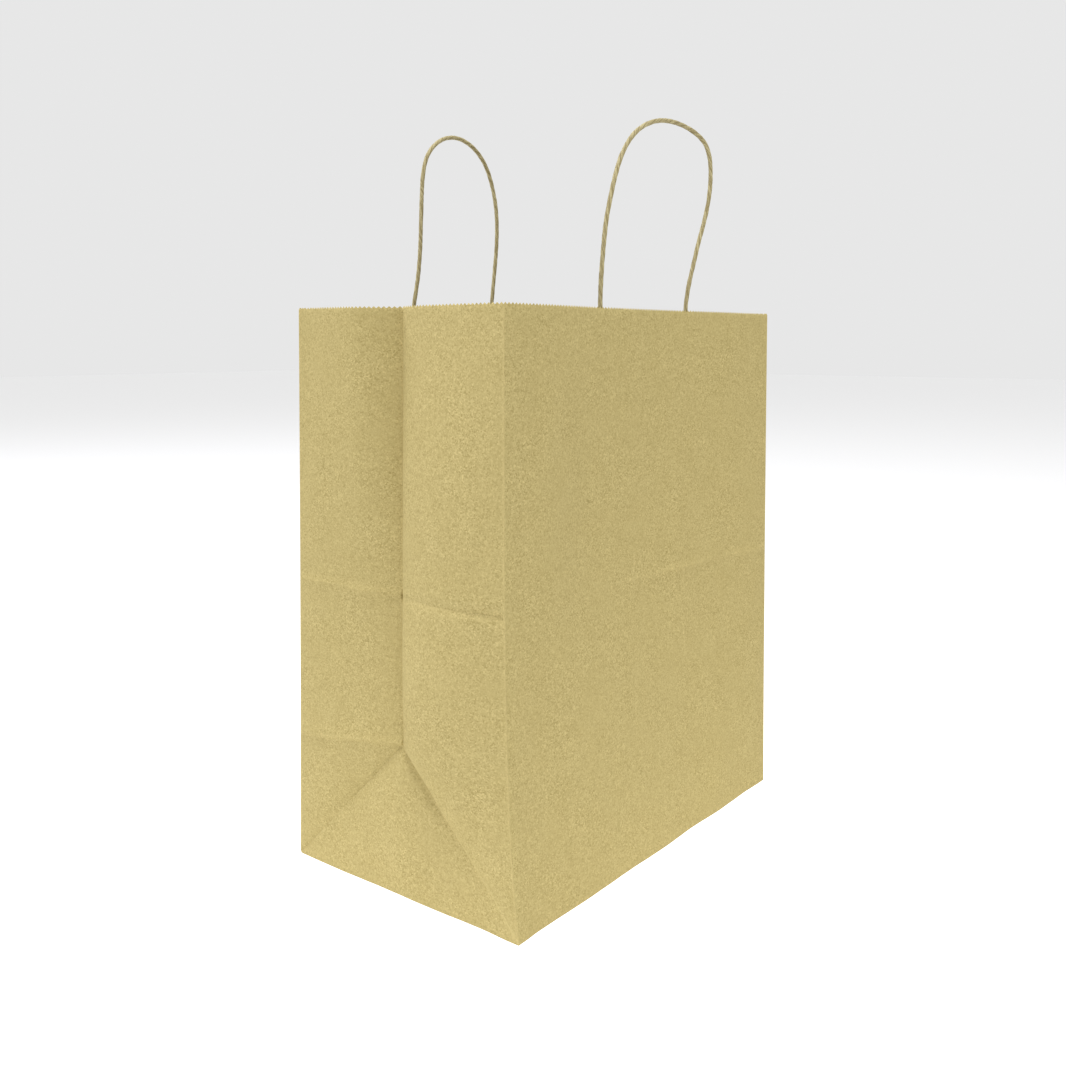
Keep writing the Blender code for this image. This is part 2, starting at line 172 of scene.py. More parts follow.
def thicken(obj, thickness):
    """Gives a sheet its thickness, on the side away from its normals."""
    wall = obj.modifiers.new("paper", "SOLIDIFY")
    wall.thickness = thickness
    wall.offset = -1
    wall.use_even_offset = False


# ---------------------------------------------------------------- the bag's surface
def upright(corner, z):
    """A point on an upright edge, which leans in evenly across and, along, by 1 - exp(-z / rise)
    as a share of its full lean."""
    lean_x, lean_y, rise = LEAN[corner]
    side_x, side_y = SIDE[corner]
    share = (1 - np.exp(-z / rise)) / (1 - math.exp(-HEIGHT / rise))
    return np.stack([side_x * (WIDTH / 2 - lean_x * z / HEIGHT),
                     side_y * (DEPTH / 2 - lean_y * share), z], -1)


def middle_fold(side_x, z):
    """A point on a gusset's middle fold: straight in to the apex, then on to the mouth."""
    up = np.clip((z - APEX) / (HEIGHT - APEX), 0, 1)
    low = np.clip(z / APEX, 0, 1)
    push = np.where(z < APEX, FOLD_IN_AT_APEX * low, mix(FOLD_IN_AT_APEX, FOLD_IN_AT_MOUTH, up))
    back = np.where(z < APEX, FOLD_BACK_AT_APEX * low,
                    mix(FOLD_BACK_AT_APEX, FOLD_BACK_AT_MOUTH, up))
    edge = upright("front_left" if side_x < 0 else "front_right", z)
    return np.stack([edge[..., 0] - side_x * push, back, z], -1)


def arch(u):
    """0 at both ends of a half gusset and 1 at its middle, steep at the ends: 1 - (2u - 1)^2."""
    return 4 * u * (1 - u)


def shoulder(u, z, drop):
    """How a front half gusset stands out: it rises all the way from the upright edge to two
    thirds of its width and then drops to the fold, steeper with a higher drop,
    (1 - (1 - u)^2.4)(1 - u^drop). It is fullest between the apex and the packing crease and
    flattest at the mouth."""
    fuller = 0.30 * bell(z - 110 * MM, 70 * MM)
    flatter = 0.45 * smooth((z - 205 * MM) / (95 * MM))
    return (1 + fuller - flatter) * (1 - (1 - u) ** 2.4) * (1 - u ** drop)


def half_gusset(corner, u, z):
    """A half gusset, u from 0 at the upright edge to 1 at the middle fold: a straight run between
    the two, standing out in a shoulder at the front and an arch at the back. Towards the mouth a
    back half stays in its plane and then rolls in over the last of its width. Below the apex a
    mitre fold runs from the base corner up to the apex: the paper beyond it is a flat triangle,
    and what stands out shrinks with what is left."""
    u, z = np.broadcast_arrays(u, z)
    side_x, side_y = SIDE[corner]
    if side_y > 0:
        bulge = BACK_BULGE
    else:
        bulge = FRONT_BULGE if side_x < 0 else FAR_BULGE
    edge, fold = upright(corner, z), middle_fold(side_x, z)
    above = mix(edge, fold, u[..., None])
    if side_y > 0:
        rolling = smooth((z - ROLL_LOW) / (ROLL_HIGH - ROLL_LOW))
        rolled = np.clip((u - 1 + ROLL_WIDTH) / ROLL_WIDTH, 0, 1) ** 1.4
        share = mix(u, rolled, rolling)
        above[..., 0] = mix(edge[..., 0], fold[..., 0], share)
        bulge = bulge * (1 - rolling)
    drop = 3 + 1.5 * smooth(2 * z / APEX - 1) + 1.5 * smooth((z - APEX) / (60 * MM))
    above[..., 0] += side_x * bulge * (arch(u) if side_y > 0 else shoulder(u, z, drop))
    mitre = np.clip(z / APEX, 0, 1)
    foot, apex = upright(corner, np.zeros(1))[0], middle_fold(side_x, np.full(1, APEX))[0]
    centre = middle_fold(side_x, np.zeros(1))[0]
    triangle = foot + (centre - foot) * (u - mitre)[..., None] + (apex - foot) * mitre[..., None]
    on_mitre = foot + (apex - foot) * mitre[..., None]
    share = np.clip(np.where(mitre > 0, u / np.maximum(mitre, 1e-9), 0), 0, 1)
    beside = mix(edge, on_mitre, share[..., None])
    form = arch(share) if side_y > 0 else shoulder(share, z, drop)
    beside[..., 0] += side_x * bulge * mitre ** 1.5 * form
    below = np.where((u > mitre)[..., None], triangle, beside)
    return np.where((z >= APEX)[..., None], above, below)


def wide_face(left, right, u, z):
    """A wide face, u from one upright edge to the other. The front is dished: it falls in over a
    quarter of a sine wave from the base to the packing crease and then stays in, a third less at
    the mouth, behind a flank that starts beside the left edge at the mouth and moves over to the
    right lower down. The back bows out as a half sine."""
    u, z = np.broadcast_arrays(u, z)
    point = mix(upright(left, z), upright(right, z), u[..., None])
    side_y = SIDE[left][1]
    if side_y < 0:
        low = smooth((180 * MM - z) / (100 * MM))
        flank_start, flank_width = 0.11 + 0.20 * low, 0.22 + 0.16 * low
        flank = smooth((u - flank_start) / flank_width)
        rise_width = 0.52 - 0.10 * low
        depth = np.sin(np.pi / 2 * np.clip(z / DISH_FULL, 0, 1))
        depth = depth * (1 - 0.33 * smooth((z - 190 * MM) / (115 * MM)))
        out = -FRONT_DISH * flank * smooth((1 - u) / rise_width) * depth
    else:
        out = BACK_BOW * np.sin(np.pi * u) * smooth(z / HEIGHT)
    point[..., 1] += side_y * out
    return point


# the tube's panels in order: kind, first upright edge, and for a wide face its second edge, or for
# a half gusset whether it runs from the middle fold to that edge
PANELS = (
    ("front", "front_left", "front_right"), ("gusset", "front_right", False),
    ("gusset", "back_right", True), ("back", "back_left", "back_right"),
    ("gusset", "back_left", False), ("gusset", "front_left", True),
)
PANEL_LENGTH = np.array([WIDTH, DEPTH / 2, DEPTH / 2, WIDTH, DEPTH / 2, DEPTH / 2])
PANEL_START = np.concatenate([[0], np.cumsum(PANEL_LENGTH)])


def panel_point(index, u, z):
    """Panel number index of the tube, u from its first to its last edge in the order round it."""
    kind, a, b = PANELS[index]
    if kind == "front":
        return wide_face(a, b, u, z)
    if kind == "back":
        return wide_face(a, b, 1 - u, z)
    return half_gusset(a, 1 - u if b else u, z)


def line_dent(s, z, start, end, width):
    """1 on the straight line between two points (s, z) of the sheet, falling to 0 over the width,
    and thinning out towards both ends."""
    start, end = np.array(start), np.array(end)
    run = end - start
    length = math.hypot(*run)
    t = ((s - start[0]) * run[0] + (z - start[1]) * run[1]) / length ** 2
    off = np.abs((s - start[0]) * run[1] - (z - start[1]) * run[0]) / length
    return tent(off, width) * smooth(t / 0.3) * smooth((1 - t) / 0.3)


def relief(index, u, z):
    """What folding and packing leave in a panel, as a distance outwards, and how pale a fold's
    line is painted there: partly wear, partly a painted highlight where a fold's flank or edge
    faces the light. The packing crease turns over from panel to panel, mountain on the front and
    the back halves of the gussets, valley on the others. Below the apex the triangle has a ridge
    up its middle and the mitre folds stand proud or fold in; the back halves have an end fold at
    the apex. Unevenness dies away at the upright edges."""
    kind, corner, turned = PANELS[index]
    u, z = np.broadcast_arrays(u, z)
    s = PANEL_START[index] + PANEL_LENGTH[index] * u
    to_edge = np.minimum(u, 1 - u) * PANEL_LENGTH[index]
    if kind == "gusset":
        across = 1 - u if turned else u
        to_edge = across * PANEL_LENGTH[index]
        back_half = SIDE[corner][1] > 0
    fade = smooth(to_edge / (14 * MM))

    # the packing crease: its line, height, how pale a line is painted along it, for wear and for a
    # painted highlight on the flank that faces the light, and how far below the line that pale
    # line lies
    line = PACKING_FOLD + 1.0 * MM * waves(s, 0 * z, (0.1, 0.3), (1, 2), 4, 5)
    strength = np.clip(0.8 + 0.3 * waves(s, 0 * z, (0.05, 0.2), (1, 2), 5, 6), 0.5, 1.0)
    wear_and_highlight_strength, highlight_below = 0.30, 0.0
    if kind == "front":
        line = line - 2.5 * MM * smooth((u - 0.4) / 0.6)
        strength = strength * smooth((u - 0.3) / 0.3)
        height, wear_and_highlight_strength = 1.4 * MM, 0.65
    elif kind == "gusset" and back_half:
        line = line + 4.5 * MM * (0.55 - across)
        height = 1.3 * MM
    elif kind == "gusset":
        line = line + 1.0 * MM - 3.0 * MM * smooth((across - 0.6) / 0.4)
        strength = strength * (0.35 + 0.65 * smooth((1 - across) / 0.5))
        height, wear_and_highlight_strength, highlight_below = -2.0 * MM, 0.9, 1.9 * MM
    else:
        height = -1.0 * MM
    width_of_crease = np.where(z >= line, 5.2 * MM, 5.0 * MM)
    crease = tent(z - line, width_of_crease) * strength
    # a paler line painted along the packing crease: wear, and a painted highlight on the lit
    # flank; on the front halves of the gussets it lies below the valley, where the lower flank
    # faces up
    wear_and_highlight = wear_and_highlight_strength * tent(z - line + highlight_below, 2.2 * MM) * strength
    out = height * crease * smooth(to_edge / (2.5 * MM))

    # unevenness, broad and fine
    out = out + 0.35 * MM * fade * waves(s, z, (0.05, 0.16), (0.15, 0.6), 14, 11)
    out = out + 0.07 * MM * fade * waves(s, z, (0.012, 0.04), (0.02, 0.08), 18, 12)

    if kind == "gusset":
        # the triangle's ridge, the mitre folds and the middle fold
        low = z < APEX
        mitre = np.clip(z / APEX, 0, 1)
        in_triangle = smooth((across - mitre) * 12) * low
        from_centre = (1 - across) * DEPTH / 2
        ridge = np.clip(1 - from_centre / (42 * MM), 0, 1)
        out = out + 3.0 * MM * in_triangle * ridge * np.sin(np.pi * mitre) ** 0.7
        off_mitre = (mitre - across) * (DEPTH / 2) / math.sqrt(2)
        crest = smooth(off_mitre / (9 * MM)) * (1 - smooth((off_mitre - 9 * MM) / (30 * MM)))
        crest = crest * low * smooth(mitre * 8) * smooth((1 - mitre) * 10)
        out = out + 0.3 * MM * crest * smooth(to_edge / (6 * MM))
        if back_half:
            out = out - 0.4 * MM * tent(off_mitre, 2.2 * MM) * low
        else:
            # beside the mitre fold of a front half, a pale line painted on its lit side: wear and
            # a painted highlight
            wear_and_highlight = wear_and_highlight + 1.0 * tent(off_mitre - 1 * MM, 2.4 * MM) * low
        # along the middle fold above the apex, a pale line painted: wear and a painted highlight
        wear_and_highlight = wear_and_highlight + 0.35 * tent(from_centre, 1.6 * MM) * smooth((z - APEX) / (10 * MM))
        if back_half:
            # the end fold level with the apex, and the pinch where it meets the middle fold
            end_fold = z - APEX + 6.5 * MM * (1 - across) ** 1.5
            skirt = np.where(end_fold > 0, 4 * MM + 16 * MM * (1 - across) ** 2, 3 * MM)
            out = out + 1.5 * MM * tent(end_fold, skirt) * smooth(to_edge / (2.5 * MM))
            # along the end fold, a pale line painted: wear and a painted highlight
            wear_and_highlight = wear_and_highlight + 0.5 * tent(end_fold, 2 * MM)
            pinch = np.hypot(from_centre - 4 * MM, (z - APEX + 1.5 * MM) * 1.6)
            out = out - 0.9 * MM * bell(pinch, 7 * MM)
        elif SIDE[corner][0] < 0:
            # a slanting dent above the packing crease
            start = PANEL_START[6] - 7 * MM
            out = out - 0.80 * MM * line_dent(s, z, (start, 0.205), (start - 15 * MM, 0.168),
                                              6 * MM)
    # along each upright edge, a pale line painted: wear and a painted highlight on the fold
    wear_and_highlight = wear_and_highlight + 0.8 * tent(to_edge, 1.3 * MM)
    if kind == "front":
        # a groove close beside the left edge, below the packing crease
        along_left = smooth((175 * MM - z) / (25 * MM)) * smooth(z / (40 * MM))
        out = out - 0.45 * MM * tent(u * WIDTH - 1.6 * MM, 1.6 * MM) * along_left
    return out, np.clip(wear_and_highlight, 0, 1)


def panel_surface(index, u, z):
    """A panel's finished outer side: the folded shape moved outwards by its relief."""
    point = panel_point(index, u, z)
    out, wear_and_highlight = relief(index, u, z)
    kind, corner, _ = PANELS[index]
    axis, sign = (0, SIDE[corner][0]) if kind == "gusset" else (1, SIDE[corner][1])
    point[..., axis] += sign * out
    return point, wear_and_highlight


def face_y(side_y, x, z):
    """Where a wide face's outer side lies at x and z, its unevenness included."""
    index, left, right = (0, *PANELS[0][1:]) if side_y < 0 else (3, *PANELS[3][1:])
    left_x, right_x = upright(left, z)[..., 0], upright(right, z)[..., 0]
    share = (x - left_x) / (right_x - left_x)
    out, _ = relief(index, share if side_y < 0 else 1 - share, z)
    return wide_face(left, right, share, z)[..., 1] + side_y * out


def crowded(steps, share):
    """From 0 to 1 in steps that are closer at both ends: evenly spaced and cosine-spaced values
    mixed by the share."""
    t = np.linspace(0, 1, steps + 1)
    return mix(t, (1 - np.cos(np.pi * t)) / 2, share)


GUSSET_STEPS, WIDE_STEPS, BASE_STEPS = 46, 54, 14
HALF = crowded(GUSSET_STEPS, 0.6)
WIDE = crowded(WIDE_STEPS, 0.75)
WALL_STEPS = [WIDE if kind in ("front", "back") else HALF for kind, _, _ in PANELS]
TEETH = np.maximum(1, np.round(PANEL_LENGTH / TOOTH_PITCH).astype(int))
RIM_STEPS = [np.linspace(0, 1, 2 * count + 1) for count in TEETH]


def rows():
    """Heights of the mesh rows: below the apex they are the gusset's columns over again, so that
    the mitre folds run through grid points; above it they close up round the packing crease."""
    spread = 9 * MM
    lower = APEX * HALF
    to_fold = mix(APEX, PACKING_FOLD - spread, np.linspace(0, 1, 23)[1:] ** 1.2)
    at_fold = PACKING_FOLD + np.linspace(-spread, spread, 15)[1:]
    to_mouth = mix(PACKING_FOLD + spread, HEIGHT - 3 * MM, np.linspace(0, 1, 45)[1:])
    return np.concatenate([lower, to_fold, at_fold, to_mouth])


def ring_of(z, steps):
    """Points, pale fold lines (wear and painted highlight) and clock coordinate (panel number + u)
    of the whole tube at heights z, with each panel's columns given by steps; the last column of a
    panel is the next one's first."""
    points, wear_and_highlight, clock = [], [], []
    for index in range(len(PANELS)):
        u = steps[index][:-1]
        p, w = panel_surface(index, u[None, :], z[:, None])
        points.append(p)
        wear_and_highlight.append(w)
        clock.append(index + u)
    return np.concatenate(points, 1), np.concatenate(wear_and_highlight, 1), np.concatenate(clock)


def sheet_uv(clock, z):
    """Place on the flat sheet: the distance round the tube and the height, in metres."""
    index = np.minimum(clock.astype(int), len(PANELS) - 1)
    return np.stack(np.broadcast_arrays(
        PANEL_START[index] + (clock - index) * PANEL_LENGTH[index], z), -1)


def band(low, high, split):
    """Two triangles for each quad between two rings of the same count. split says, per column,
    which diagonal: 0 from lower left to upper right, 1 from lower right to upper left."""
    n = len(low)
    i, j = np.arange(n), (np.arange(n) + 1) % n
    a = np.where(split[:, None], np.stack([low[i], low[j], high[i]], 1),
                 np.stack([low[i], low[j], high[j]], 1))
    b = np.where(split[:, None], np.stack([low[j], high[j], high[i]], 1),
                 np.stack([low[i], high[j], high[i]], 1))
    ca = np.where(split[:, None], np.stack([i, i + 1, i], 1), np.stack([i, i + 1, i + 1], 1))
    cb = np.where(split[:, None], np.stack([i + 1, i + 1, i], 1), np.stack([i, i + 1, i], 1))
    return np.concatenate([a, b]), np.concatenate([ca, cb])


def zip_rings(low, low_clock, high, high_clock):
    """Triangles between a coarse ring below and a finer one above: each fine edge joins its
    nearest coarse point, and each coarse edge the fine point where that changes."""
    n, m = len(low), len(high)
    low_end = np.append(low_clock, 6.0)
    high_end = np.append(high_clock, 6.0)
    between = (low_end[:-1] + low_end[1:]) / 2
    middle = (high_end[:-1] + high_end[1:]) / 2
    k = np.arange(m)
    c = np.searchsorted(between, middle)
    fans = np.stack([low[c % n], high[k], high[(k + 1) % m]], 1)[:, [0, 2, 1]]
    j = np.arange(n)
    f = np.searchsorted(middle, between)
    tops = np.stack([low[j], low[(j + 1) % n], high[f % m]], 1)
    clocks = np.concatenate([np.stack([low_end[c], high_end[k + 1], high_end[k]], 1),
                             np.stack([low_end[j], low_end[j + 1], high_end[f]], 1)])
    return np.concatenate([fans, tops]), clocks


def make_bag(material):
    """The folded sheet: the tube in triangles, its cut mouth, the base drawn in from the foot ring
    to the line y = 0 with mitred ends, and the laps and flaps glued to them."""
    z = rows()
    wall, wear_and_highlight, clock = ring_of(z, WALL_STEPS)
    n = len(clock)
    index = clock.astype(int)
    split = np.isin(index, (2, 5))
    points, marks = [wall.reshape(-1, 3)], [wear_and_highlight.ravel()]
    ids = np.arange(len(z) * n).reshape(len(z), n)
    clock_end = np.append(clock, 6.0)
    faces, uvs = [], []
    for r in range(len(z) - 1):
        f, c = band(ids[r], ids[r + 1], split)
        heights = np.where(np.isin(f, ids[r + 1]), z[r + 1], z[r])
        faces.append(f)
        uvs.append(sheet_uv(clock_end[c], heights))
    count = ids.size

    # the mouth: a fine ring of tooth roots and tips
    root = HEIGHT - TOOTH_DEPTH
    rim, rim_wear_and_highlight, rim_clock = ring_of(np.array([root, HEIGHT]), RIM_STEPS)
    tip = np.arange(len(rim_clock)) % 2 == 1
    points += [rim[0], np.where(tip[:, None], rim[1], rim[0])[tip]]
    marks += [rim_wear_and_highlight[0], rim_wear_and_highlight[1][tip]]
    root_ids = count + np.arange(len(rim_clock))
    tip_ids = root_ids[-1] + 1 + np.arange(tip.sum())
    f, c = zip_rings(ids[-1], clock, root_ids, rim_clock)
    faces.append(f)
    uvs.append(sheet_uv(c, np.where(f < count, z[-1], root)))
    at = np.arange(0, len(rim_clock), 2)
    rim_end = np.append(rim_clock, 6.0)
    after = (at + 2) % len(rim_clock)
    for f, c, h in (
        (np.stack([root_ids[at], root_ids[at + 1], tip_ids], 1), (at, at + 1, at + 1),
         (root, root, HEIGHT)),
        (np.stack([root_ids[at + 1], root_ids[after], tip_ids], 1), (at + 1, at + 2, at + 1),
         (root, root, HEIGHT)),
    ):
        faces.append(f)
        uvs.append(sheet_uv(rim_end[np.stack(c, 1)], np.broadcast_to(h, (len(at), 3))))
    count = tip_ids[-1] + 1

    # the base: rings drawn in by d, each panel between the mitres of its two ends, the last one
    # welded along the middle line
    foot = wall[0]
    wide = np.isin(index, (0, 3))
    last = np.arange(n)
    last[np.isin(index, (1, 2))] = WIDE_STEPS
    last[np.isin(index, (4, 5))] = 0
    last[index == 3] = WIDE_STEPS - np.arange(WIDE_STEPS)
    previous, previous_d = ids[0], 0.0
    for d in (DEPTH / 2) * crowded(BASE_STEPS, 0.6)[1:]:
        ring = foot * [1 - d / (WIDTH / 2), 1 - d / (DEPTH / 2), 0]
        middle = d > DEPTH / 2 - MM / 10
        ring[:, 2] = 0.0 if middle else base_level(index, d)
        here = count + (last if middle else np.arange(n))
        edge = np.minimum(clock - index, 1 - clock + index) * PANEL_LENGTH[index]
        points.append(ring)
        marks.append(0.5 * tent(edge, 4 * MM) * wide)
        f, c = band(here, previous, split)
        depth = np.where(f >= count, -d, -previous_d)
        whole = (f[:, 0] != f[:, 1]) & (f[:, 1] != f[:, 2]) & (f[:, 2] != f[:, 0])
        faces.append(f[whole])
        uvs.append(sheet_uv(clock_end[c], depth)[whole])
        previous, previous_d, count = here, d, count + n

    for grid, uv, mark, flip in (seam_lap(z), front_lip(), back_lip(), end_flap(-1), end_flap(1)):
        tris, corner_uv = grid_faces(grid.shape[0], grid.shape[1], uv, flip)
        points.append(grid.reshape(-1, 3))
        marks.append(mark.ravel())
        faces.append(tris + count)
        uvs.append(corner_uv)
        count += grid.shape[0] * grid.shape[1]
    points, faces = np.concatenate(points), np.concatenate(faces)
    used = np.unique(faces)
    renumber = np.zeros(len(points), int)
    renumber[used] = np.arange(len(used))
    return mesh_object("kraft_bag", points[used], renumber[faces].tolist(), material,
                       np.concatenate(uvs).reshape(-1, 2), np.concatenate(marks)[used],
                       SHARP_FOLD)


def base_level(index, d):
    """Height of the base's underside at the distance d in from its edge: the front flap is lowest,
    the back flap a sheet higher and the ends two, each reached within a millimetre of its fold."""
    level = np.where(index == 0, 0.0, np.where(index == 3, PAPER, 2 * PAPER))
    return level * smooth(d / (1.5 * MM))


def grid_faces(row_count, column_count, uv, flip):
    """Two triangles for each cell of a grid of rows and columns, facing the way that columns
    cross rows unless flipped, and the uv of their corners."""
    ids = np.arange(row_count * column_count).reshape(row_count, column_count)
    a, b, c, d = ids[:-1, :-1], ids[:-1, 1:], ids[1:, 1:], ids[1:, :-1]
    tris = np.concatenate([np.stack([a, b, c], -1).reshape(-1, 3),
                           np.stack([a, c, d], -1).reshape(-1, 3)])
    if flip:
        tris = tris[:, ::-1]
    return tris, uv.reshape(-1, 2)[tris]


def seam_lap(z):
    """The glued lap on the back face: the wall's own surface again, a sheet further out, from the
    back left edge to the lap's free edge, which stands off by a little more."""
    z = z[(z > 1.0 * MM) & (z < HEIGHT - TOOTH_DEPTH)]
    across = SEAM_WIDTH * crowded(14, 0.5)
    u = 1 - across[None, :] / WIDTH
    grid, mark = panel_surface(3, u, z[:, None])
    lift = PAPER * smooth(across / (2 * MM)) + 0.12 * MM * tent(SEAM_WIDTH - across, 4 * MM)
    grid[..., 1] += lift + 0.01 * MM
    mark = mark * (across > 3 * MM) + 0.5 * tent(SEAM_WIDTH - across, 1.5 * MM)
    uv = np.stack(np.broadcast_arrays(PANEL_START[4] + across[None, :], z[:, None]), -1)
    return grid, uv, mark, True


def flap_grid(low_x, high_x, low_y, high_y, taper, z):
    """A level grid between two heights y; its x ends draw in by the taper times the way up."""
    u, v = np.meshgrid(crowded(30, 0.3), crowded(12, 0.5))
    y = mix(low_y, high_y, v)
    x = mix(low_x + taper * (y - low_y), high_x - taper * (y - low_y), u)
    grid = np.stack([x, y, np.full(x.shape, z)], -1)
    uv = np.stack([x + WIDTH / 2, -y - DEPTH], -1)
    return grid, uv, u, v


def front_lip():
    """The front flap past the middle of the base, with mitred ends, lowest of all."""
    tip = WIDTH / 2 - DEPTH / 2
    grid, uv, u, v = flap_grid(-tip, tip, 0.0, FRONT_FLAP_PAST_MIDDLE, 1.0, 0.0)
    across = np.minimum(u, 1 - u) * 2 * tip
    return grid, uv, 0.7 * np.maximum(tent(1 - v, 0.12), tent(across, 1.5 * MM)), True


def back_lip():
    """The back flap past the middle, seen from inside, its free edge lifted a little."""
    inner = WIDTH / 2 - END_FLAP
    low = -BACK_FLAP_PAST_MIDDLE
    grid, uv, u, v = flap_grid(-inner - 5 * MM, inner + 5 * MM, low, 2 * MM, 0.0, 1.05 * PAPER)
    grid[..., 2] += 0.5 * MM * tent(v, 0.5) * (0.7 + 0.3 * np.cos(9 * u))
    return grid, uv, 0.5 * tent(v, 0.15), True


def end_flap(side_x):
    """An end flap inside the bag, over the whole depth, its free edge lifted a little."""
    inner, wall = WIDTH / 2 - END_FLAP, WIDTH / 2 - 0.8 * MM
    low, high = (inner, wall) if side_x > 0 else (-wall, -inner)
    half = DEPTH / 2 - 0.8 * MM
    grid, uv, u, v = flap_grid(low, high, -half, half, 0.0, 2.2 * PAPER)
    free = (u if side_x > 0 else 1 - u) * (wall - inner)
    grid[..., 2] += 0.9 * MM * tent(free, 14 * MM) * (0.6 + 0.4 * np.sin(np.pi * v))
    return grid, uv, 0.5 * tent(free, 2 * MM), True


# ---------------------------------------------------------------- handles
def cord_line(side_y, route, step):
    """The cord's middle line: straight feet below the mouth, then a Catmull-Rom curve through the
    route's points, in the depth of its face, resampled at even distances."""
    plan = np.array(route) * MM + [0, HEIGHT]
    foot = HEIGHT - CORD_FOOT
    ends = []
    for a, b in ((plan[0], plan[1]), (plan[-1], plan[-2])):
        slope = (a[0] - b[0]) / (a[1] - b[1])
        ends.append(np.array([[a[0] + slope * (z - a[1]), z] for z in (foot, (a[1] + foot) / 2)]))
    plan = np.concatenate([ends[0], plan, ends[1][::-1]])
    padded = np.concatenate([[2 * plan[0] - plan[1]], plan, [2 * plan[-1] - plan[-2]]])
    a, b, c, d = (padded[k:len(padded) - 3 + k, None] for k in range(4))
    t = np.linspace(0, 1, 17)[:-1, None]
    fine = 0.5 * (2 * b + (c - a) * t + (2 * a - 5 * b + 4 * c - d) * t * t
                  + (3 * b - a - 3 * c + d) * t ** 3)
    fine = np.concatenate([fine.reshape(-1, 2), plan[-1:]])
    y = face_y(side_y, fine[:, 0], np.minimum(fine[:, 1], HEIGHT)) - side_y * CORD_DEPTH
    fine = np.stack([fine[:, 0], y, fine[:, 1]], 1)
    lengths = np.concatenate([[0], np.cumsum(np.linalg.norm(np.diff(fine, axis=0), axis=1))])
    at = np.linspace(0, lengths[-1], max(2, round(lengths[-1] / step)) + 1)
    line = np.stack([np.interp(at, lengths, fine[:, k]) for k in range(3)], 1)
    smooth_line = line.copy()
    for _ in range(3):
        smooth_line[1:-1] = (smooth_line[:-2] + 2 * smooth_line[1:-1] + smooth_line[2:]) / 4
    return smooth_line


def make_cord(name, side_y, route, material, seed):
    """Twisted paper: a round section with three rolled strands whose grooves wind once in the
    pitch, finer pleats that wind with them, and a thickness that wanders a little along it."""
    step, around = 0.45 * MM, 30
    line = cord_line(side_y, route, step)
    length = np.linalg.norm(np.diff(line, axis=0), axis=1).sum()
    along = np.linspace(0, length, len(line))
    tangent = np.gradient(line, axis=0)
    tangent /= np.linalg.norm(tangent, axis=1)[:, None]
    side = np.cross(tangent, [0.0, 1.0, 0.0])
    side /= np.linalg.norm(side, axis=1)[:, None]
    up = np.cross(side, tangent)
    angle = np.linspace(0, 2 * np.pi, around, endpoint=False)[None, :]
    wander = 0.6 * waves(along, 0 * along, (0.02, 0.07), (1, 2), 6, seed)
    turn = 2 * np.pi * along / TWIST_PITCH + wander
    phase = angle - turn[:, None]
    strands = np.abs(np.cos(1.5 * phase)) ** 0.6
    pleats = np.cos(7 * phase + 2.0 * wander[:, None]) + 0.6 * np.cos(11 * phase + 1.3)
    swell = waves(along, 0 * along, (0.006, 0.03), (1, 2), 8, seed + 1)[:, None]
    radius = CORD / 2 * (0.89 + 0.12 * strands + 0.010 * pleats + 0.03 * swell)
    ring = (np.cos(angle) * radius)[..., None] * side[:, None] \
        + (np.sin(angle) * radius)[..., None] * up[:, None] + line[:, None]
    count = len(line)
    ids = np.arange(count * around).reshape(count, around)
    i = np.arange(around)
    j = (i + 1) % around
    quads = np.stack([ids[:-1][:, i], ids[:-1][:, j], ids[1:][:, j], ids[1:][:, i]], -1)
    # uv: turn about the cord, unwound with the twist, and the distance along it
    v = np.broadcast_to(along[:, None], (count, around + 1))
    w = (np.arange(around + 1)[None, :] / around - turn[:, None] / (2 * np.pi))
    corner = np.stack([w, v], -1)
    uv = np.stack([corner[:-1, :-1], corner[:-1, 1:], corner[1:, 1:], corner[1:, :-1]], 2)
    points = np.concatenate([ring.reshape(-1, 3), line[:1], line[-1:]])
    hub_low, hub_high = count * around, count * around + 1
    low = np.stack([np.full(around, hub_low), ids[0][j], ids[0][i]], 1)
    high = np.stack([np.full(around, hub_high), ids[-1][i], ids[-1][j]], 1)
    faces = quads.reshape(-1, 4).tolist() + low.tolist() + high.tolist()
    corners = np.concatenate([uv.reshape(-1, 2), np.zeros((6 * around, 2))])
    # where the grooves lie, for the painted shade between the strands
    painted_groove_shade = np.append(1 - strands.ravel(), [0, 0])
    return mesh_object(name, points, faces, material, corners, painted_groove_shade), line, length


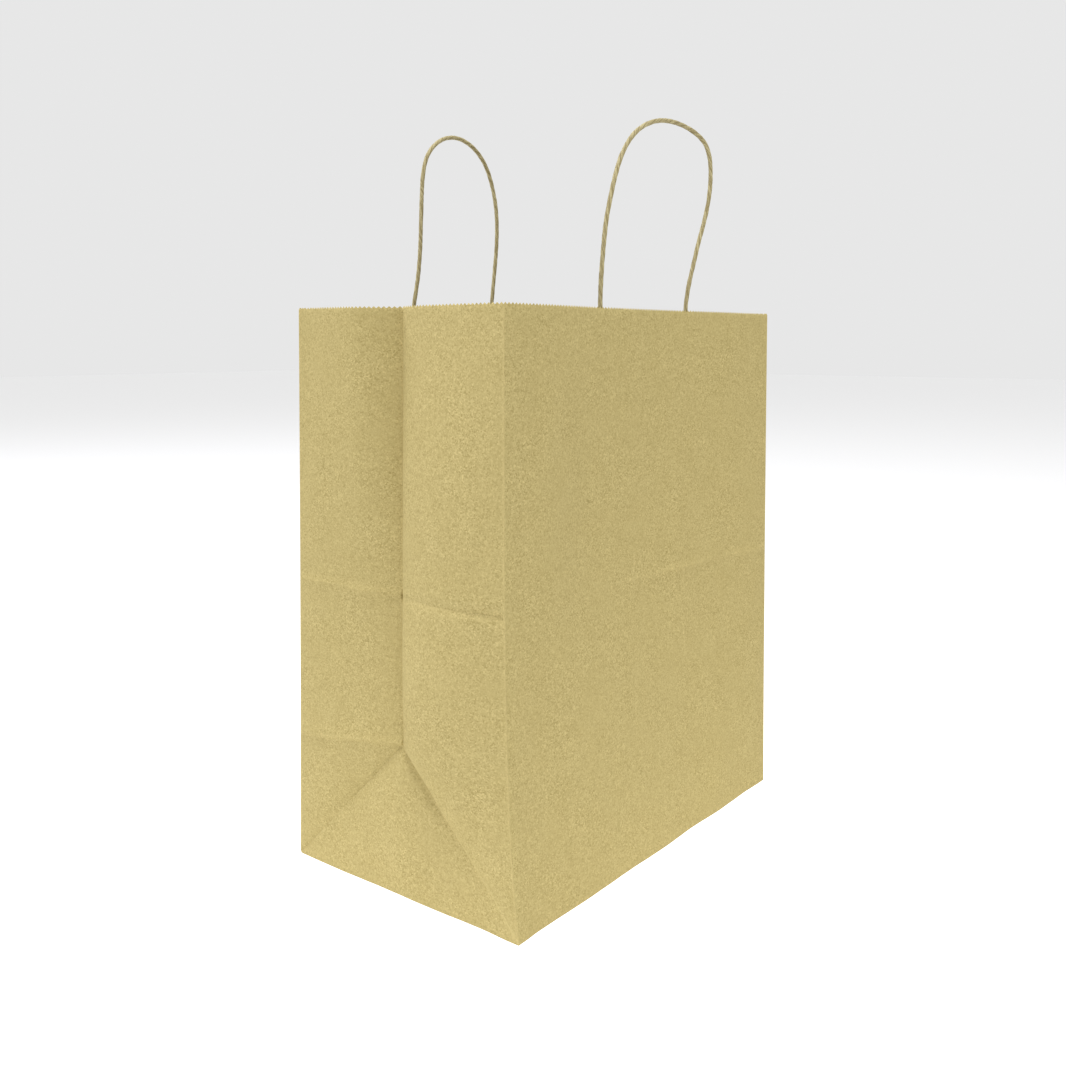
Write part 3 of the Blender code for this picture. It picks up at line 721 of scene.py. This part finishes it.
def make_patch(name, side_y, route, inner, material):
    """A strip of a handle's patch: it follows the face at its depth, and the inner one rises over
    both cord feet by a raised cosine across each foot. Its columns run straight between the
    strip's ends and the sides of the two ribs."""
    z = HEIGHT - PATCH_DROP - PATCH_HEIGHT * crowded(18, 0.4)[::-1]
    plan = np.array(route) * MM
    feet = []
    for a, b in ((plan[0], plan[1]), (plan[-1], plan[-2])):
        slope = (a[0] - b[0]) / (a[1] - b[1])
        feet.append(a[0] + slope * (z - HEIGHT - a[1]))
    feet.sort(key=lambda foot: foot[0])
    stops = [np.full(len(z), -PATCH_WIDTH / 2)]
    for foot in feet:
        stops += [foot - RIB_HALF_WIDTH, foot + RIB_HALF_WIDTH]
    stops.append(np.full(len(z), PATCH_WIDTH / 2))
    counts = (12, 20, 20, 20, 12)
    x = np.concatenate([mix(a[:, None], b[:, None], np.linspace(0, 1, k + 1)[None, :-1])
                        for a, b, k in zip(stops, stops[1:], counts)] + [stops[-1][:, None]], 1)
    rise = np.zeros(x.shape)
    depth = PAPER + GAP
    if inner:
        depth += PATCH_PAPER + GAP
        for foot in feet:
            rise = np.maximum(rise, (CORD + GAP) * bell(x - foot[:, None], RIB_HALF_WIDTH))
    y = face_y(side_y, x, np.broadcast_to(z[:, None], x.shape)) - side_y * (depth + rise)
    grid = np.stack([x, y, np.broadcast_to(z[:, None], x.shape)], -1)
    uv = np.stack([x, grid[..., 2] + (3 if inner else 2)], -1)
    tris, corner_uv = grid_faces(len(z), x.shape[1], uv, side_y > 0)
    edge = np.minimum(PATCH_WIDTH / 2 - np.abs(x), np.minimum(z - z[0], z[-1] - z)[:, None])
    obj = mesh_object(name, grid.reshape(-1, 3), tris.tolist(), material,
                      corner_uv.reshape(-1, 2), 0.4 * tent(edge, 1.0 * MM))
    thicken(obj, PATCH_PAPER)
    return obj


# ---------------------------------------------------------------- materials
class Nodes:
    """Short ways to add and link the nodes of one material."""

    def __init__(self, name):
        self.material = bpy.data.materials.new(name)
        self.material.use_nodes = True
        self.tree = self.material.node_tree
        self.shader = self.tree.nodes["Principled BSDF"]

    def add(self, kind, inputs=(), **settings):
        """A node with its settings, and each input linked to a socket or set to a value."""
        node = self.tree.nodes.new(kind)
        for key, value in settings.items():
            setattr(node, key, value)
        for key, value in dict(inputs).items():
            if isinstance(value, bpy.types.NodeSocket):
                self.tree.links.new(value, node.inputs[key])
            else:
                node.inputs[key].default_value = value
        return node

    def math(self, operation, a, b=0.0, clamp=False):
        """A sum, product or the like of two values."""
        return self.add("ShaderNodeMath", {0: a, 1: b}, operation=operation,
                        use_clamp=clamp).outputs[0]

    def noise(self, vector, scale, detail=2.0, roughness=0.5, distortion=0.0):
        """Soft random values from 0 to 1, mostly near a half, one blob to 1 / scale."""
        return self.add("ShaderNodeTexNoise", {"Vector": vector, "Scale": scale, "Detail": detail,
                                               "Roughness": roughness,
                                               "Distortion": distortion}).outputs["Fac"]

    def ramp(self, value, stops):
        """Straight steps between stops, each a position and a grey or a colour."""
        node = self.add("ShaderNodeValToRGB", {"Fac": value})
        while len(node.color_ramp.elements) < len(stops):
            node.color_ramp.elements.new(0.5)
        for element, (position, colour) in zip(node.color_ramp.elements, stops):
            element.position = position
            element.color = (*colour, 1.0) if isinstance(colour, tuple) else (colour,) * 3 + (1.0,)
        return node.outputs["Color"]

    def blend(self, factor, a, b, mode="MIX"):
        """Colour a turned into colour b by the factor, or multiplied by it."""
        return self.add("ShaderNodeMix", {0: factor, 6: a, 7: b}, data_type="RGBA",
                        blend_type=mode).outputs[2]

    def scaled(self, vector, scale, rotation=0.0):
        """The vector turned about z and stretched."""
        return self.add("ShaderNodeMapping", {"Vector": vector, "Scale": scale,
                                              "Rotation": (0, 0, rotation)}).outputs["Vector"]


CLOUDS_PER_METRE, PATCHES_PER_METRE, GRAINS_PER_METRE = 60.0, 35.0, 1500.0
SPECK_DARK, SPECK_LIGHT = (0.70, 0.69, 0.60, 1), (1.30, 1.31, 1.40, 1)


def opaque(colour, factor=1.0):
    """A colour times a factor, with its alpha of 1."""
    return tuple(factor * channel for channel in colour) + (1,)


def kraft_paper(name, base, dark, light):
    """Uncoated kraft: cloudy formation, a fine speckle of fibres, fine upright lines from the
    paper machine, and fold lines painted a little paler, for wear and as a painted highlight."""
    n = Nodes(name)
    uv = n.add("ShaderNodeUVMap", uv_map="sheet").outputs["UV"]
    cloud = n.noise(uv, CLOUDS_PER_METRE, 3.0, 0.6)
    cells = n.add("ShaderNodeTexVoronoi", {"Vector": uv, "Scale": GRAINS_PER_METRE})
    grain = n.add("ShaderNodeSeparateColor", {0: cells.outputs["Color"]}).outputs[0]
    patchy = n.ramp(n.noise(uv, PATCHES_PER_METRE, 2.0, 0.5), [(0.3, 0.45), (0.7, 1.0)])
    fibres = n.noise(n.scaled(uv, (1500, 420, 1)), 1.0, 2.0, 0.6, 0.8)
    crossed = n.noise(n.scaled(uv, (500, 1500, 1), 0.5), 1.0, 2.0, 0.6, 0.8)
    ribs = n.noise(n.scaled(uv, (900, 12, 1)), 1.0, 1.0, 0.5)
    cloudy = n.ramp(cloud, [(0.3, 0.0), (0.7, 1.0)])
    colour = n.blend(cloudy, opaque(dark), opaque(light))
    colour = n.blend(0.18, opaque(base), colour)
    speck = n.ramp(grain, [(0.0, 0.0), (0.22, 0.36), (0.5, 0.5), (0.8, 0.66), (1.0, 1.0)])
    specked = n.blend(1.0, colour, n.blend(speck, SPECK_DARK, SPECK_LIGHT), "MULTIPLY")
    colour = n.blend(patchy, colour, specked)
    long_fibres = n.ramp(n.math("MAXIMUM", fibres, crossed), [(0.62, 0.0), (0.74, 1.0)])
    colour = n.blend(n.math("MULTIPLY", long_fibres, 0.35), colour, opaque(light, 1.1))
    dark_fibres = n.ramp(n.math("MINIMUM", fibres, crossed), [(0.26, 1.0), (0.38, 0.0)])
    colour = n.blend(n.math("MULTIPLY", dark_fibres, 0.40), colour, opaque(dark, 0.8))
    # fold lines painted paler where the crease attribute says: wear and a painted highlight
    fold_wear_and_highlight = n.add("ShaderNodeAttribute", attribute_name="crease").outputs["Fac"]
    colour = n.blend(n.math("MULTIPLY", fold_wear_and_highlight, 0.35), colour, opaque(light, 1.25))
    n.tree.links.new(colour, n.shader.inputs["Base Color"])
    n.shader.inputs["Roughness"].default_value = 0.85
    n.shader.inputs["Specular IOR Level"].default_value = 0.12
    height = n.math("ADD", n.math("MULTIPLY", grain, 0.3), n.math("MULTIPLY", fibres, 0.5))
    height = n.math("ADD", height, n.math("MULTIPLY", ribs, 0.35))
    bump = n.add("ShaderNodeBump", {"Strength": 0.25, "Distance": 0.00006, "Height": height})
    n.tree.links.new(bump.outputs["Normal"], n.shader.inputs["Normal"])
    return n.material


def twisted_paper(name, base, dark, light):
    """Rolled kraft: streaks that wind with the twist, dark and pale flecks along it, and painted
    shade darkening the grooves between the strands."""
    n = Nodes(name)
    uv = n.add("ShaderNodeUVMap", uv_map="sheet").outputs["UV"]
    painted_groove_shade = n.add("ShaderNodeAttribute", attribute_name="crease").outputs["Fac"]
    streak = n.noise(n.scaled(uv, (7, 60, 1)), 1.0, 3.0, 0.6)
    fine = n.noise(n.scaled(uv, (24, 700, 1)), 1.0, 2.0, 0.6)
    fleck = n.noise(n.scaled(uv, (9, 330, 1)), 1.0, 2.0, 0.55)
    colour = n.blend(n.ramp(streak, [(0.36, 0.0), (0.64, 1.0)]), opaque(dark), opaque(light))
    colour = n.blend(0.6, opaque(base), colour)
    colour = n.blend(n.math("MULTIPLY", fine, 0.2), colour, opaque(light))
    colour = n.blend(n.ramp(fleck, [(0.30, 0.75), (0.44, 0.0)]), colour, opaque(dark))
    colour = n.blend(n.ramp(fleck, [(0.56, 0.0), (0.70, 0.6)]), colour, opaque(light))
    # painted shade: the grooves between the strands darkened
    colour = n.blend(n.ramp(painted_groove_shade, [(0.25, 0.0), (0.85, 0.85)]), colour, opaque(dark))
    n.tree.links.new(colour, n.shader.inputs["Base Color"])
    n.shader.inputs["Roughness"].default_value = 0.68
    n.shader.inputs["Specular IOR Level"].default_value = 0.4
    bump = n.add("ShaderNodeBump", {"Strength": 0.4, "Distance": 0.0001,
                                    "Height": n.math("ADD", streak, fine)})
    n.tree.links.new(bump.outputs["Normal"], n.shader.inputs["Normal"])
    return n.material


# ---------------------------------------------------------------- camera, then the pieces
camera_data = bpy.data.cameras.new("camera")
camera_data.lens = 37.04
camera_data.sensor_width = 36.0
camera_data.clip_start, camera_data.clip_end = 0.01, 100.0
camera = bpy.data.objects.new("camera", camera_data)
camera.location = (-0.50959, -0.38668, 0.28700)
LOOKS_DOWN, TURNED = 9.833, -51.878     # degrees
camera.rotation_euler = (math.radians(90 - LOOKS_DOWN), 0.0, math.radians(TURNED))
bpy.context.scene.collection.objects.link(camera)
bpy.context.scene.camera = camera

KRAFT = dict(base=(0.418, 0.339, 0.141), dark=(0.368, 0.292, 0.112), light=(0.468, 0.384, 0.171))
kraft = kraft_paper("kraft_paper", **KRAFT)
patch_kraft = kraft_paper("patch_paper", **KRAFT)
twisted = twisted_paper("twisted_kraft", base=(0.33, 0.27, 0.122), dark=(0.17, 0.128, 0.048),
                        light=(0.52, 0.46, 0.25))

for side, side_y, route, seed in (("front", -1, FRONT_ROUTE, 21), ("back", 1, BACK_ROUTE, 31)):
    cord, line, length = make_cord("twisted_handle_" + side, side_y, route, twisted, seed)
    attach(cord, "root")
    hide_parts("handle_cord_" + side)

bag = make_bag(kraft)
thicken(bag, PAPER)
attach(bag, "root")
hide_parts("bag_body")

for side, side_y, route in (("front", -1, FRONT_ROUTE), ("back", 1, BACK_ROUTE)):
    for layer in ("outer", "inner"):
        strip = make_patch("handle_patch_" + layer + "_" + side, side_y, route, layer == "inner",
                           patch_kraft)
        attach(strip, "root")
        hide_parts("patch_" + layer + "_" + side)

# ---------------------------------------------------------------- floor, backdrop and light
WORLD_LIGHT = 0.8
PAINTED_POOL_RADIUS, PAINTED_POOL_GLOW = 0.75, 0.90     # the floor glows, a painted pool of light brightest under the bag that lights it from below, and fades to the backdrop's own brightness
FAR_GLOW = 0.312                        # and fades to the backdrop's own brightness
FLOOR_HALF = 9.0

floor_material = Nodes("pale_floor_painted_light_pool")
spread = floor_material.add("ShaderNodeVectorMath", {0: floor_material.add(
    "ShaderNodeTexCoord").outputs["Object"]}, operation="LENGTH").outputs["Value"]
# a painted pool of light: the floor's glow rises towards the middle under the bag
painted_light_pool = floor_material.math("POWER", floor_material.math(
    "SUBTRACT", 1.0, floor_material.math("DIVIDE", spread, PAINTED_POOL_RADIUS), clamp=True), 2.0)
glow = floor_material.math("ADD", floor_material.math("MULTIPLY", painted_light_pool, PAINTED_POOL_GLOW), FAR_GLOW)
floor_material.tree.links.new(glow, floor_material.shader.inputs["Emission Strength"])
floor_material.shader.inputs["Emission Color"].default_value = (1, 1, 1, 1)
floor_material.shader.inputs["Base Color"].default_value = (0.60, 0.60, 0.60, 1)
floor_material.shader.inputs["Roughness"].default_value = 0.9
floor_material.shader.inputs["Specular IOR Level"].default_value = 0.2
floor_corners = np.array([[-1, -1], [1, -1], [1, 1], [-1, 1]]) * FLOOR_HALF
floor = mesh_object("floor", np.column_stack([floor_corners, np.full(4, FLOOR_LEVEL)]),
                    [[0, 1, 2, 3]], floor_material.material)

world = bpy.data.worlds.new("studio")
bpy.context.scene.world = world
world.use_nodes = True
world.node_tree.nodes["Background"].inputs["Color"].default_value = (1, 1, 1, 1)
world.node_tree.nodes["Background"].inputs["Strength"].default_value = WORLD_LIGHT


def area_light(name, location, power, colour=(1, 1, 1)):
    """A soft disc of light aimed at the middle of the bag, itself out of sight."""
    data = bpy.data.lights.new(name, "AREA")
    data.color = colour
    data.energy, data.shape, data.size = power, "DISK", LIGHT_SIZE
    light = bpy.data.objects.new(name, data)
    light.location = location
    light.visible_camera = False
    direction = np.array(BAG_MIDDLE) - np.array(location)
    yaw = math.atan2(direction[1], direction[0]) - math.pi / 2
    pitch = math.atan2(direction[2], math.hypot(direction[0], direction[1])) + math.pi / 2
    light.rotation_euler = (pitch, 0.0, yaw)
    bpy.context.scene.collection.objects.link(light)


BAG_MIDDLE = (0, 0, 0.15)
LIGHT_SIZE = 1.2
COOL, WARM = (0.98, 0.99, 1.12), (1.0, 1.0, 0.92)
area_light("overhead", (0.0, 0.0, 2.65), 19)
area_light("key", (-0.67, -0.39, 2.53), 28)
area_light("side", (-1.71, 1.71, 0.80), 11, COOL)
area_light("back", (-0.31, 1.74, 1.92), 17.5, COOL)
area_light("front", (0.80, -2.21, 1.00), 4.3, WARM)

bpy.context.scene.view_settings.view_transform = "Standard"
